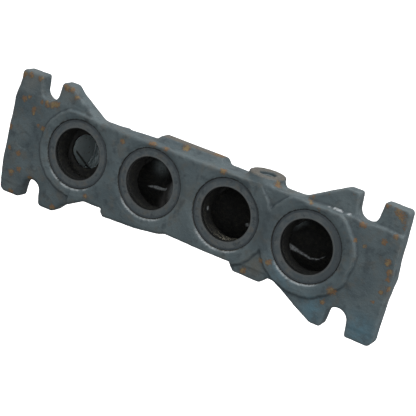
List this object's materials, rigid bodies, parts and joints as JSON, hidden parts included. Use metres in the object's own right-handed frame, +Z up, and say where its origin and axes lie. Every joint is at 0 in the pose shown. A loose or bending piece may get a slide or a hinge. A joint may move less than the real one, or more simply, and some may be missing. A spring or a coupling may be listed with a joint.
{
  "type": "exhaust manifold",
  "caption": "Cast iron exhaust manifold with round ports in a row, open stud slots at its corners and a studded rear outlet.",
  "frame": {"origin": "middle of the row of ports, on the face that meets the cylinder head", "axes": "+X along the row of ports, +Y away from the head into the manifold, +Z up"},
  "size_m": [0.381, 0.116, 0.1225],
  "materials": {
    "cast_iron": "weathered blue-grey paint film over rough cast iron, with small rust spots",
    "ring_steel": "machined, dulled and heat-browned",
    "plug_steel": "painted over, satin",
    "stud_steel": "threaded, lightly rusted"
  },
  "bodies": {
    "root": {"manifold_casting": "cast_iron", "port_ring_1": "ring_steel", "port_ring_2": "ring_steel", "port_ring_3": "ring_steel", "port_ring_4": "ring_steel", "end_plug_left": "plug_steel", "end_plug_right": "plug_steel", "boss_plug": "plug_steel", "outlet_stud_1": "stud_steel", "outlet_stud_2": "stud_steel", "outlet_stud_3": "stud_steel", "outlet_stud_4": "stud_steel"}
  },
  "joints": []
}
